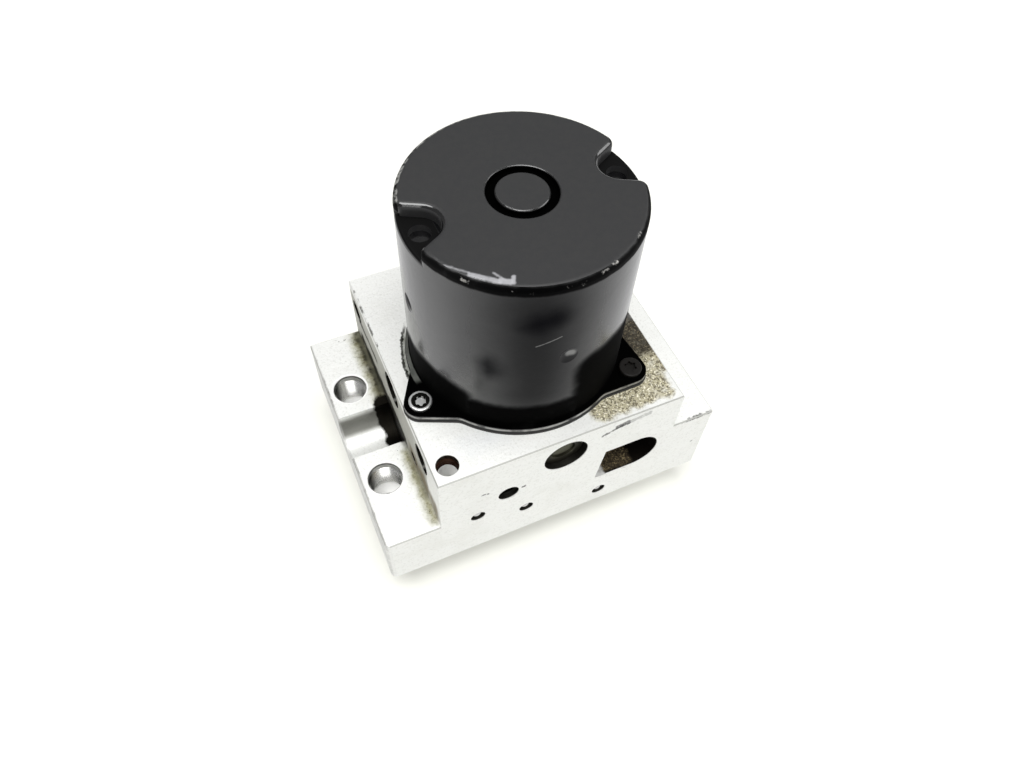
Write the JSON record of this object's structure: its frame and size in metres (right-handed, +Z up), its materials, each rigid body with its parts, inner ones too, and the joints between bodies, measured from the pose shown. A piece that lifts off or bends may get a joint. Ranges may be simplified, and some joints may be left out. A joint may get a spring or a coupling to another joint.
{
  "type": "anti-lock brake hydraulic unit",
  "caption": "Hydraulic unit of an anti-lock brake system: drilled aluminium valve block with a round black pump motor on top and solenoid valve domes below.",
  "frame": {"origin": "middle of the unit's footprint, level with the ends of the valve domes it stands on", "axes": "+Z up along the motor axis; +X from the ported step towards the accumulator side; +Y from the front face towards the wheel ports"},
  "size_m": [0.125, 0.0914, 0.1408],
  "materials": {
    "block_aluminium": "satin machined, lightly marked",
    "black_paint": "gloss black paint over drawn steel",
    "zinc_plate": "bright zinc",
    "gasket": "plain grey sheet",
    "ferrite": "sintered, matt",
    "copper": "varnished copper",
    "lamination": "punched sheets",
    "moulding": "moulded",
    "carbon": "pressed carbon",
    "rubber": "moulded",
    "passivated_cap": "olive passivated steel",
    "bronze": "sintered bronze",
    "valve_steel": "turned",
    "steel": "ground"
  },
  "bodies": {
    "housing": {"accumulator_covers": "zinc_plate", "accumulator_seals": "rubber", "accumulator_spring_front": "steel", "accumulator_spring_rear": "steel", "bearing_balls": "steel", "bearing_outer_race": "steel", "bore_plugs": "steel", "brush_holder": "moulding", "brush_spring_front": "steel", "brush_spring_rear": "steel", "inlet_spring_1": "steel", "inlet_spring_2": "steel", "inlet_spring_3": "steel", "inlet_spring_4": "steel", "inlet_valve_bodies": "valve_steel", "inlet_valve_domes": "valve_steel", "magnets": "ferrite", "motor_can": "black_paint", "motor_end_plate": "steel", "motor_gasket": "gasket", "motor_screws": "zinc_plate", "motor_terminals": "zinc_plate", "outlet_spring_1": "steel", "outlet_spring_2": "steel", "outlet_spring_3": "steel", "outlet_spring_4": "steel", "outlet_valve_bodies": "valve_steel", "outlet_valve_domes": "valve_steel", "pump_caps": "passivated_cap", "pump_seals": "rubber", "pump_sleeve_front": "steel", "pump_sleeve_rear": "steel", "pump_spring_front": "steel", "pump_spring_rear": "steel", "rear_bush": "bronze", "valve_block": "block_aluminium"},
    "rotor": {"motor_shaft": "steel", "armature_core": "lamination", "armature_windings": "copper", "commutator": "copper", "bearing_inner_race": "steel", "eccentric_rollers": "steel", "eccentric_ring": "steel"},
    "accumulator_piston_front": {"accumulator_piston_front": "block_aluminium"},
    "accumulator_piston_rear": {"accumulator_piston_rear": "block_aluminium"},
    "brush_front": {"brush_front": "carbon"},
    "brush_rear": {"brush_rear": "carbon"},
    "inlet_plunger_1": {"inlet_plunger_1": "steel"},
    "inlet_plunger_2": {"inlet_plunger_2": "steel"},
    "inlet_plunger_3": {"inlet_plunger_3": "steel"},
    "inlet_plunger_4": {"inlet_plunger_4": "steel"},
    "outlet_ball_front": {"outlet_ball_front": "steel"},
    "outlet_ball_rear": {"outlet_ball_rear": "steel"},
    "outlet_plunger_1": {"outlet_plunger_1": "steel"},
    "outlet_plunger_2": {"outlet_plunger_2": "steel"},
    "outlet_plunger_3": {"outlet_plunger_3": "steel"},
    "outlet_plunger_4": {"outlet_plunger_4": "steel"},
    "pump_piston_front": {"pump_piston_front": "steel"},
    "pump_piston_rear": {"pump_piston_rear": "steel"}
  },
  "joints": [
    {"name": "rotor_spin", "type": "hinge", "parent": "housing", "child": "rotor", "pos_m": [0.0017, -0.00295, 0.0715], "axis": [0, 0, 1], "continuous": true},
    {"name": "pump_piston_front_stroke", "type": "slide", "parent": "housing", "child": "pump_piston_front", "axis": [0, -1, 0], "range_m": [0, 0.0022], "stiffness_N_per_m": 800, "deforming": ["pump_spring_front"]},
    {"name": "outlet_ball_front_lift", "type": "slide", "parent": "housing", "child": "outlet_ball_front", "axis": [0, -1, 0], "range_m": [0, 0.0005]},
    {"name": "brush_front_feed", "type": "slide", "parent": "housing", "child": "brush_front", "axis": [0, -1, 0], "range_m": [0, 0.003], "stiffness_N_per_m": 300, "deforming": ["brush_spring_front"]},
    {"name": "accumulator_front_travel", "type": "slide", "parent": "housing", "child": "accumulator_piston_front", "axis": [1, 0, 0], "range_m": [0, 0.007], "stiffness_N_per_m": 1500, "deforming": ["accumulator_spring_front"]},
    {"name": "pump_piston_rear_stroke", "type": "slide", "parent": "housing", "child": "pump_piston_rear", "axis": [0, 1, 0], "range_m": [0, 0.0022], "stiffness_N_per_m": 800, "deforming": ["pump_spring_rear"]},
    {"name": "outlet_ball_rear_lift", "type": "slide", "parent": "housing", "child": "outlet_ball_rear", "axis": [0, 1, 0], "range_m": [0, 0.0005]},
    {"name": "brush_rear_feed", "type": "slide", "parent": "housing", "child": "brush_rear", "axis": [0, 1, 0], "range_m": [0, 0.003], "stiffness_N_per_m": 300, "deforming": ["brush_spring_rear"]},
    {"name": "accumulator_rear_travel", "type": "slide", "parent": "housing", "child": "accumulator_piston_rear", "axis": [1, 0, 0], "range_m": [0, 0.007], "stiffness_N_per_m": 1500, "deforming": ["accumulator_spring_rear"]},
    {"name": "inlet_valve_1_lift", "type": "slide", "parent": "housing", "child": "inlet_plunger_1", "axis": [0, 0, 1], "range_m": [0, 0.0004], "stiffness_N_per_m": 1500, "deforming": ["inlet_spring_1"]},
    {"name": "outlet_valve_1_lift", "type": "slide", "parent": "housing", "child": "outlet_plunger_1", "axis": [0, 0, -1], "range_m": [0, 0.0004], "stiffness_N_per_m": 1500, "deforming": ["outlet_spring_1"]},
    {"name": "inlet_valve_2_lift", "type": "slide", "parent": "housing", "child": "inlet_plunger_2", "axis": [0, 0, 1], "range_m": [0, 0.0004], "stiffness_N_per_m": 1500, "deforming": ["inlet_spring_2"]},
    {"name": "outlet_valve_2_lift", "type": "slide", "parent": "housing", "child": "outlet_plunger_2", "axis": [0, 0, -1], "range_m": [0, 0.0004], "stiffness_N_per_m": 1500, "deforming": ["outlet_spring_2"]},
    {"name": "inlet_valve_3_lift", "type": "slide", "parent": "housing", "child": "inlet_plunger_3", "axis": [0, 0, 1], "range_m": [0, 0.0004], "stiffness_N_per_m": 1500, "deforming": ["inlet_spring_3"]},
    {"name": "outlet_valve_3_lift", "type": "slide", "parent": "housing", "child": "outlet_plunger_3", "axis": [0, 0, -1], "range_m": [0, 0.0004], "stiffness_N_per_m": 1500, "deforming": ["outlet_spring_3"]},
    {"name": "inlet_valve_4_lift", "type": "slide", "parent": "housing", "child": "inlet_plunger_4", "axis": [0, 0, 1], "range_m": [0, 0.0004], "stiffness_N_per_m": 1500, "deforming": ["inlet_spring_4"]},
    {"name": "outlet_valve_4_lift", "type": "slide", "parent": "housing", "child": "outlet_plunger_4", "axis": [0, 0, -1], "range_m": [0, 0.0004], "stiffness_N_per_m": 1500, "deforming": ["outlet_spring_4"]}
  ]
}
